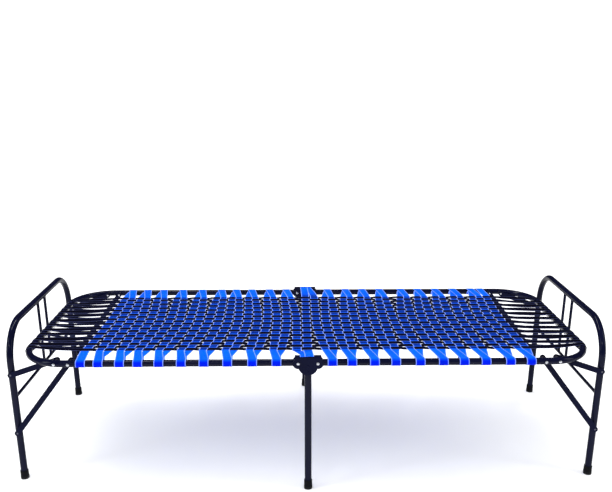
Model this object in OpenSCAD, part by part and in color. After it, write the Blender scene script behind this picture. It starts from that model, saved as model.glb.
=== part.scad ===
// Folding cot: two strap-woven half beds hinged on a centre stand, with a
// folding leg hoop at each end. X runs along the bed, Y across it, Z up, and
// the origin is on the floor below the middle of the bed.

/* [Bed frame] */
// Length over the two end bars
bed_len = 1826; // [1700:1:2000]
// Width over the two side rails
bed_w = 762; // [640:1:920]
// Height of the rail centre line above the floor
rail_h = 416; // [380:1:450]
// Bend radius of the rail corners, on the centre line
rail_bend = 143; // [100:1:180]

/* [Tube] */
// Outside diameter of the frame tube
tube_od = 22; // [19:0.1:25]
// Wall of the frame tube
tube_wall = 1.2; // [0.8:0.1:2]
// Diameter of the thin cross bars
bar_od = 11; // [8:0.5:14]

/* [Centre hinge] */
// Distance between the two hinge pivots of one bracket
pivot_gap = 61.4; // [58:0.1:74]
// Length of rail that reaches past its pivot
rail_reach = 12; // [9:0.5:13]
// Height of the bracket's bridge above the pivots
bridge_rise = 19; // [17.6:0.1:24]
// Thickness of the bracket's plates
plate_t = 2; // [1.5:0.1:3]
// Radius of the bracket's ears around the pivots
ear_r = 17; // [14:0.5:20]
// Drop of the bracket's rounded bottom below the pivots
bracket_drop = 38; // [34:1:46]
// Gap between the rail and each bracket plate
plate_gap = 0.5; // [0.3:0.1:1]

/* [Centre legs] */
// How far each centre foot stands outside its rail
leg_splay = 29; // [0:1:50]
// Height of the cross rod below the rail centre line
rod_drop = 52; // [46:1:90]
// Diameter of the cross rod
rod_od = 8; // [6:0.5:10]

/* [Leg linkage] */
// Distance of the upper link's pivot from the middle of the bed
link_x = 785; // [770:1:820]
// Distance between the two rail pivots
rail_pitch = 44; // [42:0.5:50]
// Length of the upper link between its pivots
link_len = 160; // [156:0.5:175]
// Slope of the upper link below the horizontal
link_slope = 19; // [16:0.5:23]
// Distance between the two pivots on a leg
leg_pitch = 198; // [185:0.5:215]
// Depth of the folded leg's link pivot below the rail centre line
fold_depth = 18.4; // [17.5:0.1:18.5]
// How far the folded leg's foot is turned up towards the straps, in degrees
fold_tilt = 0.3; // [0.2:0.05:0.6]
// Width of the flat links
link_w = 18; // [14:0.5:18]
// Thickness of the flat links
link_t = 3; // [2:0.1:3]
// Distance held between the rail and the brace by a spacer
spacer_t = 17.6; // [17.5:0.1:24]
// Gap between parts that pass each other
side_gap = 0.5; // [0.3:0.1:0.8]

/* [Leg hoop] */
// Height of the hoop above the link pivot, on centre lines
hoop_rise = 150; // [135:1:165]
// Bend radius of the hoop's corners, on the centre line
hoop_bend = 117; // [90:1:130]
// Height of the hoop's cross bar above the floor
crossbar_h = 281; // [230:1:320]
// Distance between the two upright bars
upright_gap = 74; // [50:1:120]
// How far the pair of upright bars is off the middle
upright_shift = 15; // [0:1:40]

/* [Feet] */
// Height of a foot cap
foot_h = 28; // [24:1:50]
// Wall of a foot cap
foot_wall = 2; // [1.5:0.1:2.2]
// Thickness of the cap below the tube
foot_sole = 6; // [4:0.5:10]

/* [Rivets] */
// Diameter of the rivets
rivet_d = 6; // [5:0.1:7]
// Radial clearance of a rivet in the part that turns on it
rivet_fit = 0.05; // [0.02:0.01:0.09]
// Diameter of a rivet's head
head_d = 9; // [8.5:0.5:13]
// Height of a rivet's head
head_t = 2; // [1:0.1:3]

/* [Straps] */
// Width of a cross strap
cross_w = 31; // [26:1:33]
// Distance between cross straps
cross_pitch = 34.2; // [33.2:0.1:35]
// Number of cross straps on each half
cross_rows = 20; // [16:1:20]
// Width of a long strap
long_w = 22; // [16:1:23]
// Distance between long straps
long_pitch = 24.5; // [24:0.1:26]
// Number of long straps
long_rows = 23; // [15:2:25]
// Thickness of a strap
strap_t = 0.8; // [0.5:0.1:1.2]
// Gap between one strap layer and the next
strap_gap = 0.3; // [0.2:0.1:0.5]

/* [Hidden] */
$fn = 64;
LEFT = -1;
RIGHT = 1;
FRONT = -1;
REAR = 1;
FRAME_COLOUR = "#10131c";
FLAT_COLOUR = "#181c28";
RIVET_COLOUR = "#8f9299";
RUBBER_COLOUR = "#0b0b0d";
BLUE_COLOUR = "#1340e0";
BLACK_COLOUR = "#1b1816";

tube_r = tube_od / 2;
bore_r = tube_r - tube_wall;
bar_r = bar_od / 2;
rivet_r = rivet_d / 2;
hole_r = rivet_r + rivet_fit;
over = 1; // how far a cutter runs past what it cuts
head_seat = 1; // how far a rivet head sits off the round of the rail
spacer_wall = 3; // wall of the tubes around the rail rivets

// Rails, as places of their centre lines
pivot_x = pivot_gap / 2;
rail_y = bed_w / 2 - tube_r;
end_x = bed_len / 2 - tube_r;
rail_start = pivot_x - rail_reach;

// Leg linkage in the XZ plane: A and B on the rail, C and D on the leg. The
// brace length is the one at which the folded leg lies under the rail at its
// depth and tilt.
A = [link_x, rail_h];
B = [link_x - rail_pitch, rail_h];
C = A + link_len * [cos(link_slope), -sin(link_slope)];
folded_C = A - [sqrt(link_len * link_len - fold_depth * fold_depth), fold_depth];
folded_D = folded_C - leg_pitch * [cos(fold_tilt), -sin(fold_tilt)];
brace_len = norm(folded_D - B);
BC = C - B;
brace_turn = acos(
    (BC * BC + brace_len * brace_len - leg_pitch * leg_pitch) / (2 * norm(BC) * brace_len)
);
brace_angle = atan2(BC[1], BC[0]) - brace_turn;
D = B + brace_len * [cos(brace_angle), sin(brace_angle)];
lean = atan2(C[0] - D[0], C[1] - D[1]);
leg_drop = C[1] / cos(lean); // along the leg, from C to the floor

// Layers across the bed, inwards from the rail
brace_out = rail_y - tube_r - spacer_t;
brace_in = brace_out - link_t;
link_out = brace_in - side_gap;
link_in = link_out - link_t;
hoop_y = link_in - side_gap - tube_r;

// Bracket plates, as distances from the rail's centre line
plate_in = tube_r + plate_gap;
plate_out = plate_in + plate_t;
leg_rivet_drops = [8, 27];

// Centre leg: upright down to its bend, then splayed outwards to the floor
leg_top = rail_h + tube_r - plate_t;
bend_z = rail_h - bracket_drop + 10 * plate_gap;
knuckle_r = tube_r + 0.8 * plate_gap;
splay = atan2(leg_splay, bend_z);
splay_len = norm([leg_splay, bend_z]);

// Straps. The first one on each half starts where it clears the bracket's ear.
cross_z = rail_h + tube_r + 2 * strap_gap + strap_t;
long_z = cross_z + strap_t + strap_gap;
centre_z = rail_h + bridge_rise + strap_gap;
cross_x = pivot_x + ear_r * 0.73 + cross_w / 2;
wrap_r = tube_r + strap_gap;
wrap_x = pivot_x + bracket_drop * 0.76 + cross_w / 2;
centre_half = pivot_x + 10 * strap_gap;
wrap_pitch = 2 * cross_pitch;
wraps_a_side = floor(cross_rows / 2);
end_wraps = floor(long_rows / 2) + 1;
end_wrap_pitch = (2 * (rail_y - rail_bend) - long_w) / (end_wraps - 1);

module side(s) {
    mirror([s == LEFT ? 1 : 0, 0, 0]) children();
}

module rod_x(x0, x1, r) {
    translate([x0, 0, 0]) rotate([0, 90, 0]) cylinder(h = x1 - x0, r = r);
}

module rod_y(y0, y1, r) {
    translate([0, y0, 0]) rotate([-90, 0, 0]) cylinder(h = y1 - y0, r = r);
}

// A pin across the bed on the front or the rear side, from y0 out to y1
module pin(f, y0, y1, r) {
    mirror([0, f == FRONT ? 1 : 0, 0]) rod_y(y0, y1, r);
}

// A domed head whose flat face is at y0 and whose crown points outwards
module head(f, y0) {
    crown = (head_d * head_d / 4 + head_t * head_t) / (2 * head_t);
    mirror([0, f == FRONT ? 1 : 0, 0])
        translate([0, y0, 0])
            rotate([-90, 0, 0])
                intersection() {
                    translate([0, 0, head_t - crown]) sphere(r = crown);
                    cylinder(h = head_t + over, r = head_d / 2);
                }
}

// Half of the bed frame's outline as a solid bar of radius r
module rail_line(r, past = 0) {
    for (f = [FRONT, REAR]) {
        translate([0, f * rail_y, 0]) rod_x(rail_start - past, end_x - rail_bend, r);
        translate([end_x - rail_bend, f * (rail_y - rail_bend), 0])
            mirror([0, f == FRONT ? 1 : 0, 0])
                rotate_extrude(angle = 90) translate([rail_bend, 0]) circle(r = r);
    }
    translate([end_x, 0, 0]) rod_y(rail_bend - rail_y, rail_y - rail_bend, r);
}

module rail(s) {
    color(FRAME_COLOUR) side(s) difference() {
        translate([0, 0, rail_h]) rail_line(tube_r);
        translate([0, 0, rail_h]) rail_line(bore_r, over);
        for (f = [FRONT, REAR]) {
            translate([pivot_x, 0, rail_h]) pin(f, rail_y - tube_od, rail_y + tube_od, hole_r);
            for (p = [A, B])
                translate([p[0], 0, p[1]]) pin(f, rail_y - tube_od, rail_y + tube_od, rivet_r);
        }
    }
}

// Outline of a bracket plate around the pivots, X by Z
module plate_outline() {
    top_half = pivot_x + ear_r * 0.65;
    belly_r = pivot_x;
    for (s = [LEFT, RIGHT])
        translate([s * pivot_x, 0]) circle(r = ear_r);
    translate([-top_half, 0]) square([2 * top_half, bridge_rise]);
    intersection() {
        translate([0, belly_r - bracket_drop]) circle(r = belly_r);
        translate([-belly_r, -bracket_drop]) square([2 * belly_r, bracket_drop]);
    }
}

module hinge_bracket(f) {
    top_half = pivot_x + ear_r * 0.65;
    color(FLAT_COLOUR) translate([0, f * rail_y, rail_h]) difference() {
        union() {
            for (y = [-plate_out, plate_in])
                translate([0, y + plate_t, 0])
                    rotate([90, 0, 0]) linear_extrude(plate_t) plate_outline();
            translate([-top_half, -plate_out, bridge_rise - plate_t])
                cube([2 * top_half, 2 * plate_out, plate_t]);
        }
        for (s = [LEFT, RIGHT])
            translate([s * pivot_x, 0, 0]) rod_y(-tube_od, tube_od, rivet_r);
        for (drop = leg_rivet_drops)
            translate([0, 0, -drop]) rod_y(-tube_od, tube_od, rivet_r);
    }
}

// A rivet through a hinge bracket, with a head on both plates
module bracket_rivet(f) {
    pin(f, rail_y - plate_out, rail_y + plate_out, rivet_r);
    head(f, rail_y + plate_out);
    mirror([0, 1, 0]) head(f, plate_out - rail_y);
}

module hinge_pivots() {
    color(RIVET_COLOUR)
        for (f = [FRONT, REAR], s = [LEFT, RIGHT])
            translate([s * pivot_x, 0, rail_h]) bracket_rivet(f);
}

module centre_leg_rivets() {
    color(RIVET_COLOUR)
        for (f = [FRONT, REAR], drop = leg_rivet_drops)
            translate([0, 0, rail_h - drop]) bracket_rivet(f);
}

// Places children at the centre leg's bend, turned outwards by an angle
module at_bend(f, angle) {
    mirror([0, f == FRONT ? 1 : 0, 0])
        translate([0, rail_y, bend_z]) rotate([angle, 0, 0]) children();
}

// The centre leg's line: upright inside the bracket, a round knuckle, then
// splayed to the floor
module centre_leg_line(f) {
    at_bend(f, 0) cylinder(h = leg_top - bend_z, r = tube_r);
    at_bend(f, 0) sphere(r = knuckle_r);
    at_bend(f, splay) translate([0, 0, foot_sole - splay_len])
        cylinder(h = splay_len - foot_sole, r = tube_r);
}

module centre_leg(f) {
    color(FRAME_COLOUR) difference() {
        centre_leg_line(f);
        at_bend(f, 0) translate([0, 0, tube_wall]) cylinder(h = rail_h, r = bore_r);
        at_bend(f, splay) translate([0, 0, -rail_h - tube_wall])
            cylinder(h = rail_h, r = bore_r);
        for (drop = leg_rivet_drops)
            translate([0, 0, rail_h - drop])
                pin(f, rail_y - tube_od, rail_y + tube_od, rivet_r);
    }
}

// A rubber cap on the end of a leg whose line points up along z from z = 0
module foot_cap() {
    flare = 0.5;
    difference() {
        rotate_extrude() polygon([
            [0, -over], [tube_r + foot_wall, -over],
            [tube_r + foot_wall + flare, foot_sole * 0.5],
            [tube_r + foot_wall + flare, foot_sole * 1.5],
            [tube_r + foot_wall, foot_sole * 2.2], [tube_r + foot_wall, foot_h], [0, foot_h]
        ]);
        translate([0, 0, foot_sole]) cylinder(h = foot_h, r = tube_r);
    }
}

// Removes what is below the floor
module on_floor() {
    difference() {
        children();
        translate([-bed_len, -bed_w, -rail_h]) cube([2 * bed_len, 2 * bed_w, rail_h]);
    }
}

module centre_feet() {
    color(RUBBER_COLOUR)
        for (f = [FRONT, REAR])
            on_floor() at_bend(f, splay) translate([0, 0, -splay_len]) foot_cap();
}

module cross_rod() {
    rod_z = rail_h - rod_drop;
    reach = rail_y;
    color(FRAME_COLOUR) difference() {
        translate([0, 0, rod_z]) rod_y(-reach, reach, rod_od / 2);
        for (f = [FRONT, REAR])
            centre_leg_line(f);
    }
}

// A flat bar between two points of the XZ plane, with a rounded end on each
module flat_bar(f, p, q, y0) {
    run = q - p;
    color(FLAT_COLOUR)
        mirror([0, f == FRONT ? 1 : 0, 0])
            translate([p[0], y0 + link_t, p[1]])
                rotate([0, -atan2(run[1], run[0]), 0])
                    rotate([90, 0, 0])
                        linear_extrude(link_t) difference() {
                            union() {
                                circle(r = link_w / 2);
                                translate([norm(run), 0]) circle(r = link_w / 2);
                                translate([0, -link_w / 2]) square([norm(run), link_w]);
                            }
                            circle(r = hole_r);
                            translate([norm(run), 0]) circle(r = hole_r);
                        }
}

module link(s, f) {
    side(s) flat_bar(f, A, C, link_in);
}

module brace(s, f) {
    side(s) flat_bar(f, B, D, brace_in);
}

// How far the rail's centre line is from the middle of the bed at the length x
function rail_y_at(x) =
    let (past = x - end_x + rail_bend)
    past <= 0 ? rail_y : rail_y - rail_bend + sqrt(rail_bend * rail_bend - past * past);

// Rivets through the rail at p that end at the distance y0, heads outside
module rail_rivets(s, p, y0) {
    head_y = rail_y_at(p[0]) + tube_r + head_seat;
    color(RIVET_COLOUR) side(s)
        for (f = [FRONT, REAR])
            translate([p[0], 0, p[1]]) {
                pin(f, y0, head_y, rivet_r);
                head(f, head_y);
            }
}

module link_pivots(s) {
    rail_rivets(s, A, link_in - side_gap);
}

module brace_pivots(s) {
    rail_rivets(s, B, brace_in);
}

// Tubes around the rail rivets at p, from the distance y0 out to the rail
module spacer_pair(s, p, y0) {
    color(RIVET_COLOUR) side(s) difference() {
        translate([p[0], 0, p[1]])
            for (f = [FRONT, REAR])
                difference() {
                    pin(f, y0 + side_gap / 2, rail_y, rivet_r + spacer_wall);
                    pin(f, y0 - over, rail_y + over, rivet_r);
                }
        translate([0, 0, rail_h]) rail_line(tube_r);
    }
}

module link_spacers(s) {
    spacer_pair(s, A, link_out);
}

module brace_spacers(s) {
    spacer_pair(s, B, brace_out);
}

// Fixed in the brace and just clear of the leg
module brace_rivets(s) {
    color(RIVET_COLOUR) side(s)
        for (f = [FRONT, REAR])
            translate([D[0], 0, D[1]]) {
                pin(f, brace_in, brace_out, hole_r);
                pin(f, hoop_y + tube_r + side_gap, brace_in, rivet_r + 1);
            }
}

// Places children on the leg hoop, with z = 0 at the link pivot and +z up the leg
module on_hoop(s) {
    side(s) translate([C[0], 0, C[1]]) rotate([0, lean, 0]) children();
}

module hoop_line(r, past = 0) {
    bottom = foot_sole - leg_drop;
    for (f = [FRONT, REAR]) {
        translate([0, f * hoop_y, bottom - past])
            cylinder(h = hoop_rise - hoop_bend - bottom + past, r = r);
        translate([0, f * (hoop_y - hoop_bend), hoop_rise - hoop_bend])
            mirror([0, f == FRONT ? 1 : 0, 0])
                rotate([90, 0, 90])
                    rotate_extrude(angle = 90) translate([hoop_bend, 0]) circle(r = r);
    }
    translate([0, 0, hoop_rise]) rod_y(hoop_bend - hoop_y, hoop_y - hoop_bend, r);
}

module hoop(s) {
    color(FRAME_COLOUR) on_hoop(s) difference() {
        hoop_line(tube_r);
        hoop_line(bore_r, over);
        for (f = [FRONT, REAR])
            pin(f, hoop_y, hoop_y + tube_od, rivet_r);
    }
}

module leg_pivots(s) {
    color(RIVET_COLOUR) on_hoop(s)
        for (f = [FRONT, REAR])
            pin(f, hoop_y + bore_r - over, link_out, rivet_r);
}

crossbar_z = (crossbar_h - C[1]) / cos(lean);

module crossbar(s) {
    color(FRAME_COLOUR) on_hoop(s) difference() {
        translate([0, 0, crossbar_z]) rod_y(-hoop_y, hoop_y, bar_r);
        hoop_line(tube_r);
    }
}

module uprights(s) {
    color(FRAME_COLOUR) on_hoop(s) difference() {
        for (k = [-1, 1])
            translate([0, upright_shift + k * upright_gap / 2, crossbar_z])
                cylinder(h = hoop_rise - crossbar_z, r = bar_r * 0.9);
        translate([0, 0, crossbar_z]) rod_y(-hoop_y, hoop_y, bar_r);
        hoop_line(tube_r);
    }
}

module foot(s, f) {
    color(RUBBER_COLOUR)
        on_floor() on_hoop(s) translate([0, f * hoop_y, -leg_drop]) foot_cap();
}

module cross_strap(x, z) {
    reach = rail_y + tube_r / 3;
    translate([x - cross_w / 2, -reach, z]) cube([cross_w, 2 * reach, strap_t]);
}

module centre_cross_strap() {
    color(BLUE_COLOUR) cross_strap(0, centre_z);
}

module cross_straps(s) {
    color(BLUE_COLOUR) side(s)
        for (k = [0 : cross_rows - 1])
            cross_strap(cross_x + k * cross_pitch, cross_z);
}

module long_strap(x0, x1, z) {
    for (k = [0 : long_rows - 1])
        translate([x0, (k - (long_rows - 1) / 2) * long_pitch - long_w / 2, z])
            cube([x1 - x0, long_w, strap_t]);
}

module centre_long_straps() {
    color(BLACK_COLOUR) long_strap(-centre_half, centre_half, long_z);
}

module long_straps(s) {
    color(BLACK_COLOUR) side(s) long_strap(centre_half + strap_gap, end_x, long_z);
}

module wrap_ring(w) {
    difference() {
        rod_x(-w / 2, w / 2, wrap_r + strap_t);
        rod_x(-w / 2 - over, w / 2 + over, wrap_r);
    }
}

module side_wraps(s) {
    color(BLUE_COLOUR) side(s)
        for (f = [FRONT, REAR], k = [0 : wraps_a_side - 1])
            translate([wrap_x + k * wrap_pitch, f * rail_y, rail_h]) wrap_ring(cross_w);
}

module end_wraps(s) {
    color(BLACK_COLOUR) side(s)
        for (k = [0 : end_wraps - 1])
            translate([end_x, (k - (end_wraps - 1) / 2) * end_wrap_pitch, rail_h])
                rotate([0, 0, 90]) wrap_ring(long_w);
}

hinge_bracket(FRONT);  // front_hinge_bracket
hinge_bracket(REAR);  // rear_hinge_bracket
hinge_pivots();
centre_leg(FRONT);  // front_centre_leg
centre_leg(REAR);  // rear_centre_leg
centre_leg_rivets();
centre_feet();
cross_rod();
centre_cross_strap();
centre_long_straps();
rail(LEFT);  // left_rail
cross_straps(LEFT);  // left_cross_straps
long_straps(LEFT);  // left_long_straps
side_wraps(LEFT);  // left_side_wraps
end_wraps(LEFT);  // left_end_wraps
link_pivots(LEFT);  // left_link_pivots
brace_pivots(LEFT);  // left_brace_pivots
link_spacers(LEFT);  // left_link_spacers
brace_spacers(LEFT);  // left_brace_spacers
link(LEFT, FRONT);  // left_front_link
link(LEFT, REAR);  // left_rear_link
brace(LEFT, FRONT);  // left_front_brace
brace(LEFT, REAR);  // left_rear_brace
brace_rivets(LEFT);  // left_brace_rivets
hoop(LEFT);  // left_hoop
crossbar(LEFT);  // left_crossbar
uprights(LEFT);  // left_uprights
leg_pivots(LEFT);  // left_leg_pivots
foot(LEFT, FRONT);  // left_front_foot
foot(LEFT, REAR);  // left_rear_foot
rail(RIGHT);  // right_rail
cross_straps(RIGHT);  // right_cross_straps
long_straps(RIGHT);  // right_long_straps
side_wraps(RIGHT);  // right_side_wraps
end_wraps(RIGHT);  // right_end_wraps
link_pivots(RIGHT);  // right_link_pivots
brace_pivots(RIGHT);  // right_brace_pivots
link_spacers(RIGHT);  // right_link_spacers
brace_spacers(RIGHT);  // right_brace_spacers
link(RIGHT, FRONT);  // right_front_link
link(RIGHT, REAR);  // right_rear_link
brace(RIGHT, FRONT);  // right_front_brace
brace(RIGHT, REAR);  // right_rear_brace
brace_rivets(RIGHT);  // right_brace_rivets
hoop(RIGHT);  // right_hoop
crossbar(RIGHT);  // right_crossbar
uprights(RIGHT);  // right_uprights
leg_pivots(RIGHT);  // right_leg_pivots
foot(RIGHT, FRONT);  // right_front_foot
foot(RIGHT, REAR);  // right_rear_foot
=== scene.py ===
"""The looks of the folding cot: woven straps, weld seams, paint, rubber, steel, floor, light
and camera.

Lengths are in metres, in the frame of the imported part: X along the bed, Y across it, Z up.
"""

import math

import bpy
import numpy as np
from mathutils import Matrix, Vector


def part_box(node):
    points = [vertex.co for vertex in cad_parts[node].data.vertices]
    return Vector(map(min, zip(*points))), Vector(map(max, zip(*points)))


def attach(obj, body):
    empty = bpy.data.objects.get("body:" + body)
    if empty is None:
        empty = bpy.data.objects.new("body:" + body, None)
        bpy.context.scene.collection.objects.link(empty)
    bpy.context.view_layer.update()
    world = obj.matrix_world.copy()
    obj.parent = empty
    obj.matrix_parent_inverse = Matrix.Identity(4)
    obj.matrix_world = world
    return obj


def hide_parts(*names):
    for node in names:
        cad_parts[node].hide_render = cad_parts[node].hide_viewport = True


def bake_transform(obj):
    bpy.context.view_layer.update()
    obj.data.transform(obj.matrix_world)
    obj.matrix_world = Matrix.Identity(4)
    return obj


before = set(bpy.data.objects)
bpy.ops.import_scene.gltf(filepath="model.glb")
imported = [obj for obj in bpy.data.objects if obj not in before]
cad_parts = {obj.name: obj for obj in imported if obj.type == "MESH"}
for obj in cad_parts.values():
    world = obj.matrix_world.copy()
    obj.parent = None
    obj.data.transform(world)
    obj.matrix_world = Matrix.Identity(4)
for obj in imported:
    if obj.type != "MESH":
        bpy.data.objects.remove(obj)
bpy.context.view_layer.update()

SIDES = {"left": -1, "right": 1}
FRONT, REAR = -1, 1

# ---------------------------------------------------------------- sizes, from the frame

rail_low, rail_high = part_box("right_rail")
wrap_low, wrap_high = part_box("right_side_wraps")
cross_low, cross_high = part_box("right_cross_straps")
long_low, long_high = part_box("right_long_straps")
centre_low, centre_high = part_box("centre_cross_strap")
_, bracket_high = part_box("front_hinge_bracket")

TUBE_R = (rail_high.z - rail_low.z) / 2
RAIL_Z = (rail_high.z + rail_low.z) / 2
RAIL_Y = rail_high.y - TUBE_R
END_X = rail_high.x - TUBE_R
END_BEND = 0.143  # radius of the rail's corner on its centre line

STRAP_T = 0.0007
WRAP_R = (wrap_high.z - wrap_low.z) / 2 - STRAP_T / 2  # middle of a strap that turns round a tube
CROSS_W = centre_high.x - centre_low.x - 0.001
LONG_W = 0.023
CAD_LONG_W = 0.022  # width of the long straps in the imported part
WEAVE_Z = (cross_low.z + long_high.z) / 2
WEAVE_AMP = 0.0011  # how far a strap rises or dips where it crosses another

ROWS = 20  # cross straps on each half
COLUMNS = 23  # long straps
ROW_PITCH = (cross_high.x - 0.6 * CROSS_W) / (ROWS + 0.4)
COLUMN_PITCH = (long_high.y - long_low.y - CAD_LONG_W) / (COLUMNS - 1)
WEAVE_EDGE = COLUMN_PITCH * COLUMNS / 2
WEAVE_FORWARD = 0.018  # how far the middle of the weave lies in front of the bed's middle
BRIDGE_TOP = centre_low.z + STRAP_T / 2  # middle of a strap that lies on a hinge bracket
BRIDGE_IN = -bracket_high.y  # inner edge of a hinge bracket, from the middle of the bed

# ---------------------------------------------------------------- node helpers


class Graph:
    """A material's node tree, with short calls to add nodes and links."""

    def __init__(self, name):
        self.material = bpy.data.materials.new(name)
        self.material.use_nodes = True
        self.tree = self.material.node_tree
        self.tree.nodes.clear()
        self.shader = self.add("ShaderNodeBsdfPrincipled")
        output = self.add("ShaderNodeOutputMaterial")
        self.link(self.shader.outputs[0], output.inputs[0])

    def add(self, kind, **settings):
        node = self.tree.nodes.new(kind)
        for key, value in settings.items():
            setattr(node, key, value)
        return node

    def link(self, source, target):
        self.tree.links.new(source, target)

    def noise(self, vector, scale, detail=3.0, rough=0.5):
        node = self.add("ShaderNodeTexNoise")
        node.inputs["Scale"].default_value = scale
        node.inputs["Detail"].default_value = detail
        node.inputs["Roughness"].default_value = rough
        self.link(vector, node.inputs["Vector"])
        return node.outputs["Fac"]

    def wave(self, vector, scale, direction, distortion=0.0):
        node = self.add("ShaderNodeTexWave", bands_direction=direction)
        node.inputs["Scale"].default_value = scale
        node.inputs["Distortion"].default_value = distortion
        self.link(vector, node.inputs["Vector"])
        return node.outputs["Fac"]

    def math(self, operation, a, b):
        node = self.add("ShaderNodeMath", operation=operation)
        for k, value in enumerate((a, b)):
            if isinstance(value, (int, float)):
                node.inputs[k].default_value = value
            else:
                self.link(value, node.inputs[k])
        return node.outputs[0]

    def spread(self, value, low, high, to_low, to_high):
        """Maps low..high to to_low..to_high, and holds what lies outside at the nearer end."""
        node = self.add("ShaderNodeMapRange")
        node.inputs["From Min"].default_value = low
        node.inputs["From Max"].default_value = high
        node.inputs["To Min"].default_value = to_low
        node.inputs["To Max"].default_value = to_high
        self.link(value, node.inputs["Value"])
        return node.outputs["Result"]

    def mix(self, factor, a, b):
        node = self.add("ShaderNodeMix", data_type="RGBA")
        self.link(factor, node.inputs[0])
        for k, value in ((6, a), (7, b)):
            if isinstance(value, tuple):
                node.inputs[k].default_value = (*value, 1)
            else:
                self.link(value, node.inputs[k])
        return node.outputs[2]

    def bump(self, height, strength, distance):
        node = self.add("ShaderNodeBump")
        node.inputs["Strength"].default_value = strength
        node.inputs["Distance"].default_value = distance
        self.link(height, node.inputs["Height"])
        self.link(node.outputs[0], self.shader.inputs["Normal"])

    def base(self, value):
        self.link(value, self.shader.inputs["Base Color"])

    def rough(self, value):
        self.link(value, self.shader.inputs["Roughness"])

    def object_place(self):
        return self.add("ShaderNodeTexCoord").outputs["Object"]

    def strap_place(self):
        return self.add("ShaderNodeUVMap", uv_map="strap").outputs["UV"]


# ---------------------------------------------------------------- materials


def paint(name, dark, light, gloss, peel, coat):
    """Sprayed enamel: a slow change of tone, a fine orange peel, dust and rubbed spots."""
    g = Graph(name)
    place = g.object_place()
    tone = g.noise(place, 7.0)
    rubbed = g.spread(g.noise(place, 160.0, 5.0, 0.7), 0.66, 0.78, 0.0, 1.0)
    g.base(g.mix(rubbed, g.mix(tone, dark, light), tuple(3 * c + 0.004 for c in light)))
    cloudy = g.spread(tone, 0.3, 0.7, gloss, gloss + 0.10)
    g.rough(g.math("ADD", cloudy, g.math("MULTIPLY", rubbed, 0.25)))
    g.bump(g.noise(place, 900.0, 1.0), peel, 0.0004)
    g.shader.inputs["Coat Weight"].default_value = coat
    g.shader.inputs["Coat Roughness"].default_value = 0.06
    g.shader.inputs["Specular IOR Level"].default_value = 0.03
    return g.material


def steel(name, dark, light, rough):
    """Zinc-plated steel: cloudy tone and fine turning marks."""
    g = Graph(name)
    place = g.object_place()
    cloud = g.noise(place, 240.0, 4.0, 0.6)
    g.base(g.mix(cloud, dark, light))
    g.rough(g.spread(cloud, 0.3, 0.7, rough, rough + 0.2))
    g.bump(g.noise(place, 1500.0, 2.0), 0.15, 0.0002)
    g.shader.inputs["Metallic"].default_value = 1.0
    return g.material


def rubber(name):
    """Moulded black rubber with shallow grip rings and scuffs near the floor."""
    g = Graph(name)
    place = g.object_place()
    grain = g.noise(place, 500.0, 4.0, 0.7)
    split = g.add("ShaderNodeSeparateXYZ")
    g.link(place, split.inputs[0])
    near_floor = g.spread(split.outputs["Z"], 0.0, 0.012, 1.0, 0.0)
    scuffed = g.math("MULTIPLY", near_floor, g.noise(place, 90.0, 4.0))
    g.base(g.mix(scuffed, (0.002, 0.002, 0.004), (0.022, 0.022, 0.024)))
    g.rough(g.spread(grain, 0.3, 0.7, 0.55, 0.8))
    rings = g.math("MULTIPLY", g.wave(place, 55.0, "Z"), 0.8)
    g.bump(g.math("ADD", rings, g.math("MULTIPLY", grain, 0.25)), 0.5, 0.0012)
    g.shader.inputs["Specular IOR Level"].default_value = 0.12
    return g.material


def webbing(name, tones, rough, rib, speckle=None):
    """Woven plastic webbing. UV is in metres: across the strap by along it. tones holds four
    tones of one strap that paint light and shade on it: the painted shade of the woven part,
    the lit tone of the open part, the painted shade of the turn round a tube, and a painted
    glint on the edge. The mesh says which applies: woven is 1 in the weave, 0 in the open and
    -1 in a turn, and edge is 1 along the strap's edges."""
    woven_shade_tone, open_lit_tone, turn_shade_tone, edge_glint_tone = tones
    g = Graph(name)
    place = g.strap_place()
    woven = g.add("ShaderNodeAttribute", attribute_name="woven").outputs["Fac"]
    edge = g.add("ShaderNodeAttribute", attribute_name="edge").outputs["Fac"]
    lengthwise = g.wave(place, 1 / rib, "X")
    across = g.wave(place, 0.8 / rib, "Y", 0.6)
    threads = g.math("MULTIPLY", lengthwise, across)
    soiling = g.noise(g.object_place(), 9.0, 4.0, 0.6)
    # painted shade: the weave and the turns are darker than the lit open part
    colour = g.mix(g.spread(woven, 0.0, 1.0, 0.0, 1.0), open_lit_tone, woven_shade_tone)
    colour = g.mix(g.spread(woven, 0.0, -1.0, 0.0, 1.0), colour, turn_shade_tone)
    soiled_tone = tuple(0.6 * c for c in woven_shade_tone)
    colour = g.mix(g.spread(soiling, 0.35, 0.75, 0.0, 0.35), colour, soiled_tone)
    thread_tone = tuple(min(1.0, 1.4 * c) for c in open_lit_tone)
    colour = g.mix(g.math("MULTIPLY", threads, 0.10), colour, thread_tone)
    if speckle:
        flecks = g.noise(place, 520.0, 3.0, 0.8)
        colour = g.mix(g.spread(flecks, 0.50, 0.68, 0.0, 0.85), colour, speckle)
    # painted glint along the strap's edges
    colour = g.mix(g.math("MULTIPLY", edge, 0.75), colour, edge_glint_tone)
    g.base(colour)
    g.rough(g.spread(threads, 0.0, 1.0, rough + 0.12, rough))
    g.bump(threads, 0.35, 0.0005)
    g.shader.inputs["Specular IOR Level"].default_value = 0.01
    return g.material


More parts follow.
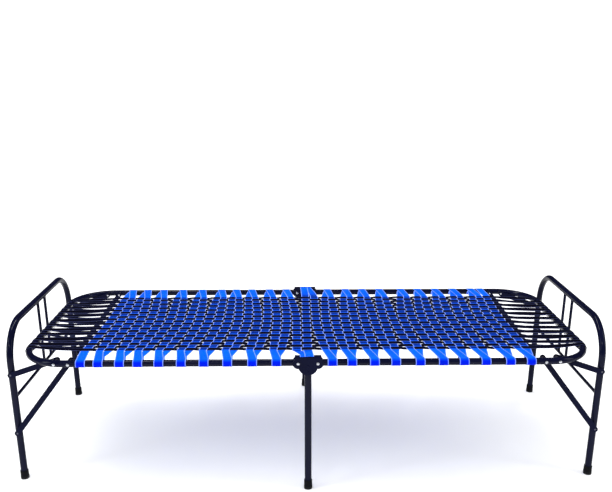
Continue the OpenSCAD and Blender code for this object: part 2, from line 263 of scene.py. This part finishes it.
PAINT = paint(
    "gloss_black_paint", (0.0016, 0.002, 0.008), (0.004, 0.005, 0.022),
    gloss=0.14, peel=0.12, coat=0.14,
)
FLAT_PAINT = paint(
    "satin_black_paint", (0.0015, 0.002, 0.009), (0.004, 0.005, 0.024),
    gloss=0.28, peel=0.20, coat=0.03,
)
BRIGHT_STEEL = steel("zinc_rivet_steel", (0.40, 0.41, 0.45), (0.85, 0.86, 0.90), 0.30)
DARK_STEEL = steel("dark_rivet_steel", (0.05, 0.05, 0.07), (0.13, 0.13, 0.16), 0.35)
RUBBER = rubber("black_rubber")
# tones: painted shade in the weave, lit open part, painted shade in the turns, painted edge glint
BLUE = webbing(
    "blue_webbing",
    ((0.0008, 0.005, 0.115), (0.0, 0.095, 0.80), (0.0, 0.008, 0.66), (0.24, 0.36, 0.92)),
    rough=0.38, rib=0.0016,
)
BLACK = webbing(
    "black_webbing",
    ((0.0014, 0.0018, 0.016), (0.0014, 0.0014, 0.004), (0.001, 0.001, 0.003), (0.05, 0.06, 0.16)),
    rough=0.50, rib=0.0020, speckle=(0.010, 0.009, 0.012),
)

CAD_MATERIALS = {
    "rail": PAINT, "hoop": PAINT, "crossbar": PAINT, "uprights": PAINT, "centre_leg": PAINT,
    "cross_rod": PAINT, "bracket": FLAT_PAINT, "link": FLAT_PAINT, "brace": FLAT_PAINT,
    "foot": RUBBER, "feet": RUBBER, "spacers": DARK_STEEL, "brace_rivets": DARK_STEEL,
    "leg_pivots": DARK_STEEL, "link_pivots": BRIGHT_STEEL, "brace_pivots": BRIGHT_STEEL,
    "hinge_pivots": BRIGHT_STEEL, "centre_leg_rivets": FLAT_PAINT,
}


def finish_cad_nodes():
    """Gives each carried CAD node the material whose key its name ends with."""
    for name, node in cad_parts.items():
        keys = [k for k in CAD_MATERIALS if name.endswith(k)]
        if not keys:
            continue
        node.data.materials.clear()
        node.data.materials.append(CAD_MATERIALS[max(keys, key=len)])


# ---------------------------------------------------------------- ribbons

# Places across a strap, as shares of half its width. The outermost ones are thin, and those
# nearest the edges take the painted edge glint.
PROFILE = (-1.0, -0.90, -0.80, 0.0, 0.80, 0.90, 1.0)
GLINT_FROM = 0.85
EDGE_THINNESS = 0.55


class Strap:
    """A flat strap along a list of stations, gathered into one mesh with other straps."""

    def __init__(self):
        self.verts, self.faces, self.uvs, self.woven, self.edge = [], [], [], [], []

    def sweep(self, stations):
        """stations: (place, side, width, woven), where side points across the strap and woven
        picks its painted shade or lit tone.
        """
        places = np.array([s[0] for s in stations], float)
        tangents = np.gradient(places, axis=0)
        tangents /= np.linalg.norm(tangents, axis=1)[:, None]
        start, along = len(self.verts), 0.0
        ring = 2 * len(PROFILE)
        for k, (place, side, width, woven) in enumerate(stations):
            side = np.array(side, float)
            normal = np.cross(tangents[k], side)
            normal /= np.linalg.norm(normal)
            if k:
                along += float(np.linalg.norm(places[k] - places[k - 1]))
            for face, order in ((1, PROFILE), (-1, PROFILE[::-1])):
                for u in order:
                    thin = EDGE_THINNESS if abs(u) == 1.0 else 1.0
                    across, up = side * (u * width / 2), normal * (face * thin * STRAP_T / 2)
                    self.verts.append(places[k] + across + up)
                    self.uvs.append((u * width / 2, along))
                    self.woven.append(woven)
                    # marks where the painted edge glint goes
                    self.edge.append(1.0 if abs(u) > GLINT_FROM else 0.0)
        for k in range(len(stations) - 1):
            a, b = start + k * ring, start + (k + 1) * ring
            for j in range(ring):
                n = (j + 1) % ring
                self.faces.append((a + j, b + j, b + n, a + n))
        last = start + (len(stations) - 1) * ring
        self.faces.append(tuple(range(start, start + ring)))
        self.faces.append(tuple(reversed(range(last, last + ring))))

    def build(self, name, material):
        mesh = bpy.data.meshes.new(name)
        mesh.from_pydata([tuple(v) for v in self.verts], [], self.faces)
        layer = mesh.uv_layers.new(name="strap")
        loops = np.zeros(len(mesh.loops), np.int32)
        mesh.loops.foreach_get("vertex_index", loops)
        layer.data.foreach_set("uv", np.array(self.uvs, np.float32)[loops].ravel())
        # woven and edge carry the painted shade, lit tone and edge glint to the material
        for title, values in (("woven", self.woven), ("edge", self.edge)):
            attribute = mesh.attributes.new(title, "FLOAT", "POINT")
            attribute.data.foreach_set("value", np.array(values, np.float32))
        mesh.materials.append(material)
        mesh.validate()
        mesh.shade_smooth()
        mesh.set_sharp_from_angle(angle=math.radians(50))
        piece = bpy.data.objects.new(name, mesh)
        bpy.context.scene.collection.objects.link(piece)
        return piece


# ---------------------------------------------------------------- the weave

# Places within one crossing, from its start to its end, as shares of half the pitch
CROSSING = (-1.0, -0.88, -0.72, -0.35, 0.35, 0.72, 0.88)


def rise(share):
    """Height of a strap within a crossing, from 0 at its ends to 1 in its middle."""
    return max(0.0, math.cos(share * math.pi / 2)) ** 0.6


def crossing_shade(share):
    """How far the strap takes its painted shade tone: wholly in the middle of a crossing, less
    towards its ends, where the strap bends and the lit tone stands as a painted highlight.
    """
    return max(0.0, 1.0 - abs(share / 0.80) ** 4)


def over(row, column):
    """1 where the cross strap passes over the long strap, and -1 where it passes under."""
    return 1 if (row + column) % 2 == 0 else -1


def wobble(seed, k):
    """A small repeatable number from -1 to 1."""
    return math.sin(12.9898 * k + 78.233 * seed) * math.cos(4.1414 * k + 2.7 * seed)


# Where the wraps sit along the side rails, from the middle outwards, in millimetres, as they
# lie on the right half. The left half is the same turned half round, so its FRONT is the
# rear rail. The wraps on the FRONT side hold the rows 1 and 2, 3 and 4, and so on; those on
# the REAR side hold 2 and 3, 4 and 5, and so on, and row 20 alone.
WRAPS = {
    ("right", FRONT): (76, 137, 207, 273, 349, 421, 486, 554, 630, 695),
    ("right", REAR): (89, 162, 228, 298, 384, 452, 522, 593, 667, 704),
    ("left", FRONT): (76, 143, 214, 276, 335, 412, 489, 566, 630, 689),
    ("left", REAR): (98, 173, 250, 323, 393, 462, 527, 583, 649, 703),
}
PAIR = 0.026  # how close the two straps of one wrap come to each other at the weave's edge
LEAN = {FRONT: 0.008, REAR: 0.012}  # how far the outer one lies outside the wrap there
LONE_LEAN = 0.004  # the same for a strap that has a wrap to itself
GATHERING = 1.6  # the pairs form towards the rails with this power of the distance


def wrap_x(side, f, row):
    """Place of the wrap that holds a row on the side f, as it lies on the right half."""
    outer_row = row + row % 2 if f == FRONT else row + 1 - row % 2
    return WRAPS[side, f][(outer_row - 2) // 2] / 1000


def row_x(side, row, y):
    """Place along the bed of a cross strap where it crosses y. The straps run evenly in
    the middle of the bed, and in pairs near the side rails."""
    even = row * ROW_PITCH
    f = FRONT if y < 0 else REAR
    if row == 0:
        return 0.0
    if row == 1 and f == REAR:
        return even
    outer = (row % 2 == 0) == (f == FRONT)
    alone = row == ROWS and f == REAR
    edge = wrap_x(side, f, row) + (LONE_LEAN if alone else LEAN[f] - (0 if outer else PAIR))
    reach = abs(y - turned_offset(side)) / WEAVE_EDGE
    return even + (edge - even) * min(1.0, reach) ** GATHERING


def column_y(column):
    """Place across the bed of a long strap. The weave lies a little nearer to the front."""
    return column * COLUMN_PITCH - WEAVE_FORWARD


def turned_offset(side):
    """The same offset for a half that is drawn as the right one and then turned."""
    return -WEAVE_FORWARD * SIDES[side]


def strap_width(side, row, y):
    """A cross strap is squeezed where its neighbour comes near."""
    here = row_x(side, row, y)
    room = [abs(row_x(side, k, y) - here) for k in (row - 1, row + 1) if 0 <= k <= ROWS]
    return min(CROSS_W, 0.97 * min(room))


def woven_cross(side, row, heading):
    """Stations of one cross strap within the weave, for heading -1 from rear to front."""
    half = COLUMNS // 2
    stations = []
    for column in range(-half, half + 1):
        for share in CROSSING:
            y = (column + share / 2) * COLUMN_PITCH + turned_offset(side)
            z = WEAVE_Z + over(row, column) * WEAVE_AMP * rise(share)
            x = row_x(side, row, y) + 0.0005 * wobble(row, column)
            stations.append(((x, y, z), (1, 0, 0), strap_width(side, row, y), crossing_shade(share)))
    return stations if heading > 0 else stations[::-1]


TURN = [math.radians(a) for a in range(90, 316, 15)]  # over the tube, round it, under it
SIDE_FAN_STEPS = 7
END_FAN_STEPS = 12
RETURN_REACH = 0.0282  # how far inside a tube a returning strap comes up to the weave's level
EDGE_GAP = 0.002  # from the weave's edge to where a cross strap leaves it
LAYER = 0.0009  # how far above or below the weave's level a strap leaves it


def side_fan(side, row, f, on_top):
    """Stations from the weave to a side rail, either to its top or to where the strap
    turns down to pass under it."""
    edge_y = f * (WEAVE_EDGE + EDGE_GAP) + turned_offset(side)
    edge_z = WEAVE_Z + (LAYER if on_top else -LAYER)
    first = Vector((row_x(side, row, edge_y), edge_y, edge_z))
    reach, drop = (0.003, 0.0) if on_top else (RETURN_REACH, 0.0005)
    last = Vector((wrap_x(side, f, row), f * (RAIL_Y - reach), RAIL_Z + WRAP_R - drop))
    narrow = strap_width(side, row, edge_y)
    stations = []
    for k in range(SIDE_FAN_STEPS):
        t = k / (SIDE_FAN_STEPS - 1)
        sag = 0.0004 * math.sin(math.pi * t)
        place = first.lerp(last, t)
        place.z += sag if on_top else -sag
        width = narrow + (CROSS_W - narrow) * t
        stations.append((tuple(place), (1, 0, 0), width, 0.0))
    return stations


def side_wrap(side, row, f):
    """Stations round a side rail, from its top, over the outer side and under it. The strap
    takes its turn tone, a painted shade, between 90 and 150 degrees."""
    stations = []
    for a in TURN:
        y = f * (RAIL_Y - WRAP_R * math.cos(a))
        shade = -min(1.0, math.degrees(a) / 60 - 1.5) if a < math.pi else -1.0
        place = (wrap_x(side, f, row), y, RAIL_Z + WRAP_R * math.sin(a))
        stations.append((place, (1, 0, 0), CROSS_W, shade))
    return stations


def bridge_stations(f, sideways, places):
    """Stations from the weave onto the bridge of a hinge bracket on the side f. Each place is
    (y, z, x, share of the strap's width, woven), with x positive in the direction sideways, and
    woven the share of painted shade against the lit tone."""
    return [
        ((sideways * x, f * y, z), (1, 0, 0), CROSS_W * width, woven)
        for y, z, x, width, woven in places
    ]


ROW_1_END = 0.0135  # where the end of row 1 lies on the bracket


def bracket_end(side, f):
    """Stations of row 1 from the weave onto the bridge of a hinge bracket."""
    return bridge_stations(f, 1, (
        (WEAVE_EDGE + EDGE_GAP + f * turned_offset(side), WEAVE_Z - 0.0008, ROW_PITCH, 1.0, 0.9),
        (0.312, WEAVE_Z, 0.028, 0.95, 0.2),
        (BRIDGE_IN - 0.012, BRIDGE_TOP - 0.0012, 0.018, 0.84, 0.0),
        (BRIDGE_IN, BRIDGE_TOP, ROW_1_END, 0.8, 0.0),
        (BRIDGE_IN + 0.010, BRIDGE_TOP, ROW_1_END, 0.8, 0.0),
        (RAIL_Y + TUBE_R / 3, BRIDGE_TOP, ROW_1_END, 0.8, 0.0),
    ))


def cross_weave(side, s):
    """All cross straps of one half as one winding, from its outer row inwards. The odd rows
    lie on top of both rails and the even ones come from under them, so each wrap turns one
    into the other. Row 20 starts with a wrap of its own and row 1 ends on a hinge bracket."""
    stations = side_wrap(side, ROWS, REAR)[::-1] + side_fan(side, ROWS, REAR, True)[::-1]
    for row in range(ROWS, 0, -1):
        there = FRONT if row % 2 == 0 else REAR
        stations += woven_cross(side, row, there)
        if row == 1:
            stations += bracket_end(side, there)
            continue
        on_top = row % 2 == 1
        turn = side_wrap(side, row, there)
        stations += side_fan(side, row, there, on_top) + (turn if on_top else turn[::-1])
        stations += side_fan(side, row - 1, there, not on_top)[::-1]
    strap = Strap()
    strap.sweep([((s * x, s * y, z), side_way, w, c) for (x, y, z), side_way, w, c in stations])
    piece = strap.build(f"{side}_cross_webbing", BLUE)
    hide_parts(f"{side}_cross_straps", f"{side}_side_wraps")
    return piece


def centre_cross_webbing():
    """The strap in the middle, which rises from the weave onto the two hinge brackets,
    where it lies on the end of its neighbour."""
    top = BRIDGE_TOP + STRAP_T + 0.0003

    def end(f):
        return bridge_stations(f, -f, (
            (WEAVE_EDGE + 0.004 - f * WEAVE_FORWARD, WEAVE_Z + 0.0006, 0.0, 1.0, 0.8),
            (0.310, WEAVE_Z + 0.0022, 0.001, 0.99, 0.2),
            (BRIDGE_IN - 0.012, top - 0.0010, 0.003, 0.97, 0.0),
            (BRIDGE_IN, top, 0.004, 0.97, 0.0),
            (BRIDGE_IN + 0.010, top, 0.004, 0.97, 0.0),
            (RAIL_Y + TUBE_R / 3, top, 0.004, 0.97, 0.0),
        ))

    strap = Strap()
    strap.sweep(end(FRONT)[::-1] + woven_cross("right", 0, 1) + end(REAR))
    piece = strap.build("centre_cross_webbing", BLUE)
    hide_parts("centre_cross_strap")
    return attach(piece, "centre_stand")


def end_bar(y):
    """Centre line of the end bar at the place y: (x, inward direction, direction along)."""
    past = abs(y) - (RAIL_Y - END_BEND)
    if past <= 0:
        return END_X, np.array([-1.0, 0.0]), np.array([0.0, 1.0])
    a = math.asin(min(1.0, past / END_BEND))
    f = math.copysign(1, y)
    x = END_X - END_BEND * (1 - math.cos(a))
    return x, np.array([-math.cos(a), -f * math.sin(a)]), np.array([-f * math.sin(a), math.cos(a)])


END_REACH = 0.254  # how far from the middle the outermost end wraps may sit
END_GATHERING = 0.955  # place of an end wrap, as a share of the place of its strap


def end_wrap_y(column):
    """An end wrap sits nearly straight beyond the strap that arrives at it."""
    y = END_GATHERING * column_y(column) + 0.003 * wobble(2, column)
    return max(-END_REACH, min(END_REACH, y))


def woven_long(side, s, column, outward):
    """Stations of one long strap within the weave of one half, from the middle outwards."""
    y0 = column_y(column)
    rows = [row_x(side, row, s * y0) for row in range(ROWS + 1)]
    rows.append(2 * rows[-1] - rows[-2])
    stations = []
    for row in range(ROWS + 1):
        for share in CROSSING:
            if row == 0 and share < 0:
                continue
            outward_gap = share > 0 or row == 0
            gap = rows[row + 1] - rows[row] if outward_gap else rows[row] - rows[row - 1]
            x = s * (rows[row] + share * gap / 2)
            y = y0 + 0.0004 * wobble(column, row)
            z = WEAVE_Z - over(row, column) * WEAVE_AMP * rise(share)
            stations.append(((x, y, z), (0, 1, 0), LONG_W, crossing_shade(share)))
    middle = (0.0, y0, WEAVE_Z - over(0, column) * WEAVE_AMP)
    stations.insert(0, (middle, (0, 1, 0), LONG_W, 1.0))
    return stations if outward else stations[::-1]


def end_fan(side, s, column, wrap_y, arriving):
    """Stations from the last crossing to the end bar, where the strap narrows and twists."""
    bar_x, inward, along = end_bar(wrap_y)
    y0 = column_y(column)
    start = np.array([row_x(side, ROWS, s * y0) + 0.55 * ROW_PITCH, y0])
    if arriving:
        reach, layer, drop, sag = 0.004, LAYER, 0.0, 0.0012
        tilt = math.radians(14 + 16 * wobble(5 + s, column))
        bunch = 0.003 * wobble(9 + s, column)
    else:
        reach, layer, drop, sag = RETURN_REACH, -LAYER, 0.0035, 0.0045
        tilt = math.radians(9) * wobble(7, column)
        bunch = 0.005 * wobble(9 + s, column)
    finish = np.array([bar_x, wrap_y]) + inward * reach
    z0, z1 = WEAVE_Z + layer, RAIL_Z + WRAP_R - drop
    stations = []
    for k in range(END_FAN_STEPS):
        t = k / (END_FAN_STEPS - 1)
        bend = math.sin(math.pi * t)
        x, y = start + (finish - start) * t + np.array([0.0, bunch * bend])
        z = z0 + (z1 - z0) * t - sag * bend
        turn = tilt * bend ** 1.5
        flat = (1 - t) * np.array([0.0, 1.0]) + t * along
        flat /= np.linalg.norm(flat)
        across = (s * flat[0] * math.cos(turn), flat[1] * math.cos(turn), math.sin(turn))
        width = LONG_W * (1 - 0.10 * bend - 0.06 * t)
        stations.append(((s * x, y, z), across, width, 0.5 - 0.5 * t))
    return stations


def end_wrap(s, wrap_y):
    """Stations round the end bar, from its top, over the outer side and under it."""
    bar_x, inward, along = end_bar(wrap_y)
    across = (s * along[0], along[1], 0.0)
    stations = []
    for a in TURN:
        x, y = np.array([bar_x, wrap_y]) + inward * WRAP_R * math.cos(a)
        z = RAIL_Z + WRAP_R * math.sin(a)
        stations.append(((s * x, y, z), across, LONG_W * 0.94, 0.0))
    return stations


def long_weave(side, s):
    """All long straps of one half. Two neighbours share a wrap round the end bar: one runs
    straight over its top, and the other leans in to come back from under it."""
    half = COLUMNS // 2
    strap = Strap()
    for k in range(-half, half + 1, 2):
        first, second = -s * k, -s * (k - 1) if k > -half else None
        wrap_y = end_wrap_y(first)
        stations = woven_long(side, s, first, True) + end_fan(side, s, first, wrap_y, True)
        stations += end_wrap(s, wrap_y)
        if second is not None:
            stations += end_fan(side, s, second, wrap_y, False)[::-1]
            stations += woven_long(side, s, second, False)
        strap.sweep(stations)
    piece = strap.build(f"{side}_long_webbing", BLACK)
    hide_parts(f"{side}_long_straps", f"{side}_end_wraps", "centre_long_straps")
    return piece


def weave():
    """All straps. The centre strap is carried with the centre stand, and those of each half are
    baked in place.
    """
    centre_cross_webbing()
    for side, s in SIDES.items():
        for piece in (cross_weave(side, s), long_weave(side, s)):
            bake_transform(piece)


# ---------------------------------------------------------------- weld seams

BEAD_R = 0.0013  # radius of a bead's own section
BEAD_STEPS = 28  # sections round one joint
BEAD_SIDES = 8


def weld_ring(tip, into, host_axis, rod_r, host_r):
    """Centre and outward direction of each place along the seam where a rod's coped end
    meets a tube. tip is the rod's end on its centre line, and into points to the tube."""
    into, host_axis = Vector(into).normalized(), Vector(host_axis).normalized()
    across = into.cross(host_axis).normalized()
    shallowest = math.sqrt(host_r ** 2 - rod_r ** 2)
    ring = []
    for k in range(BEAD_STEPS):
        a = 2 * math.pi * k / BEAD_STEPS
        out = across * math.cos(a) + host_axis * math.sin(a)
        back = math.sqrt(host_r ** 2 - (rod_r * math.cos(a)) ** 2) - shallowest
        ring.append((Vector(tip) + out * (rod_r + 0.0003) - into * (back + 0.0004), out))
    return ring


def weld_seams(name, body, joints):
    """A lumpy painted bead round each joint of (tip, into, host axis, rod radius, tube radius)."""
    verts, faces = [], []
    for j, joint in enumerate(joints):
        ring = weld_ring(*joint)
        into = Vector(joint[1]).normalized()
        first = len(verts)
        for k, (centre, out) in enumerate(ring):
            size = BEAD_R * (1 + 0.22 * wobble(31 + j, k))
            for m in range(BEAD_SIDES):
                a = 2 * math.pi * m / BEAD_SIDES
                verts.append(tuple(centre + (out * math.cos(a) + into * math.sin(a)) * size))
        for k in range(len(ring)):
            here, there = first + k * BEAD_SIDES, first + (k + 1) % len(ring) * BEAD_SIDES
            for m in range(BEAD_SIDES):
                n = (m + 1) % BEAD_SIDES
                faces.append((here + m, there + m, there + n, here + n))
    mesh = bpy.data.meshes.new(name)
    mesh.from_pydata(verts, [], faces)
    mesh.materials.append(PAINT)
    mesh.shade_smooth()
    seams = bpy.data.objects.new(name, mesh)
    bpy.context.scene.collection.objects.link(seams)
    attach(seams, body)


def all_weld_seams():
    """Seams of the cross rod on the centre legs, and of each hoop's crossbar and uprights."""
    rod_low, rod_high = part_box("cross_rod")
    rod_r = (rod_high.z - rod_low.z) / 2
    rod_z = (rod_high.z + rod_low.z) / 2
    weld_seams("centre_weld_seams", "centre_stand", [
        ((0, f * rod_high.y, rod_z), (0, f, 0), (0, 0, 1), rod_r, TUBE_R) for f in (FRONT, REAR)
    ])
    for side, s in SIDES.items():
        bar_low, bar_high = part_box(f"{side}_crossbar")
        up_low, up_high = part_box(f"{side}_uprights")
        bar_r = (bar_high.z - bar_low.z) / 2
        up_r = 0.9 * bar_r
        outer, inner = sorted((abs(up_low.x), abs(up_high.x)), reverse=True)
        foot = Vector((s * (inner + up_r), 0, up_low.z))
        head = Vector((s * (outer - up_r), 0, up_high.z))
        lean = head - foot
        middle = (bar_low + bar_high) / 2
        joints = [
            ((middle.x, f * bar_high.y, middle.z), (0, f, 0), lean, bar_r, TUBE_R)
            for f in (FRONT, REAR)
        ]
        for y in (up_low.y + up_r, up_high.y - up_r):
            joints.append((foot + Vector((0, y, 0)), -lean, (0, 1, 0), up_r, bar_r))
            joints.append((head + Vector((0, y, 0)), lean, (0, 1, 0), up_r, TUBE_R))
        weld_seams(f"{side}_weld_seams", f"{side}_leg_hoop", joints)


# ---------------------------------------------------------------- stage, light, camera


def make_floor():
    g = Graph("pale_floor")
    place = g.object_place()
    g.base(g.mix(g.noise(place, 1.2), (0.90, 0.90, 0.91), (0.94, 0.94, 0.94)))
    g.rough(g.spread(g.noise(place, 30.0), 0.3, 0.7, 0.75, 0.95))
    g.bump(g.noise(place, 300.0), 0.02, 0.001)
    g.shader.inputs["Emission Color"].default_value = (1.0, 1.0, 0.96, 1)
    g.shader.inputs["Emission Strength"].default_value = 0.12
    mesh = bpy.data.meshes.new("floor")
    half = 40.0
    corners = [(-half, -half, 0), (half, -half, 0), (half, half, 0), (-half, half, 0)]
    mesh.from_pydata(corners, [], [(0, 1, 2, 3)])
    mesh.materials.append(g.material)
    floor = bpy.data.objects.new("floor", mesh)
    bpy.context.scene.collection.objects.link(floor)


def area_light(name, place, aim, size, power, colour=(1, 1, 1)):
    light = bpy.data.lights.new(name, "AREA")
    light.shape = "RECTANGLE"
    light.size, light.size_y = size
    light.energy = power
    light.color = colour
    lamp = bpy.data.objects.new(name, light)
    lamp.location = place
    lamp.rotation_mode = "QUATERNION"
    lamp.rotation_quaternion = (Vector(aim) - Vector(place)).to_track_quat("-Z", "Y")
    bpy.context.scene.collection.objects.link(lamp)


def make_light():
    """A white room, with softboxes above, in front and on each side. Its walls are dim as seen
    in gloss, so that the dark tubes keep their depth and mirror the softboxes alone."""
    world = bpy.data.worlds.new("white_room")
    world.use_nodes = True
    tree = world.node_tree
    background = tree.nodes["Background"]
    background.inputs[0].default_value = (1.0, 1.0, 1.0, 1)
    ray = tree.nodes.new("ShaderNodeLightPath")
    strength = tree.nodes.new("ShaderNodeMapRange")
    strength.inputs["To Min"].default_value = 1.2
    strength.inputs["To Max"].default_value = 0.04
    tree.links.new(ray.outputs["Is Glossy Ray"], strength.inputs["Value"])
    tree.links.new(strength.outputs["Result"], background.inputs[1])
    bpy.context.scene.world = world
    middle = (0, 0, 0.4)
    area_light("top_softbox", (-0.6, 0.4, 3.2), middle, (2.6, 0.35), 60)
    area_light("front_softbox", (-0.8, -3.4, 2.6), middle, (2.6, 0.18), 16)
    area_light("left_softbox", (-3.0, -1.6, 1.6), middle, (0.6, 1.8), 26, (0.80, 0.90, 1.0))
    area_light("right_softbox", (3.0, -1.2, 1.8), middle, (0.6, 1.8), 18, (0.90, 0.95, 1.0))


def make_camera():
    """Just left of the middle, looking slightly down at the front rail."""
    data = bpy.data.cameras.new("camera")
    data.sensor_width = 36.0
    data.lens = 45.39
    data.clip_start, data.clip_end = 0.05, 200.0
    camera = bpy.data.objects.new("camera", data)
    camera.location = (-0.0400, -2.6128, 1.3344)
    camera.rotation_euler = (math.radians(90 - 13.69), 0, math.radians(-0.859))
    bpy.context.scene.collection.objects.link(camera)
    bpy.context.scene.camera = camera


finish_cad_nodes()
weave()
all_weld_seams()
make_floor()
make_light()
make_camera()
bpy.context.scene.view_settings.view_transform = "Standard"
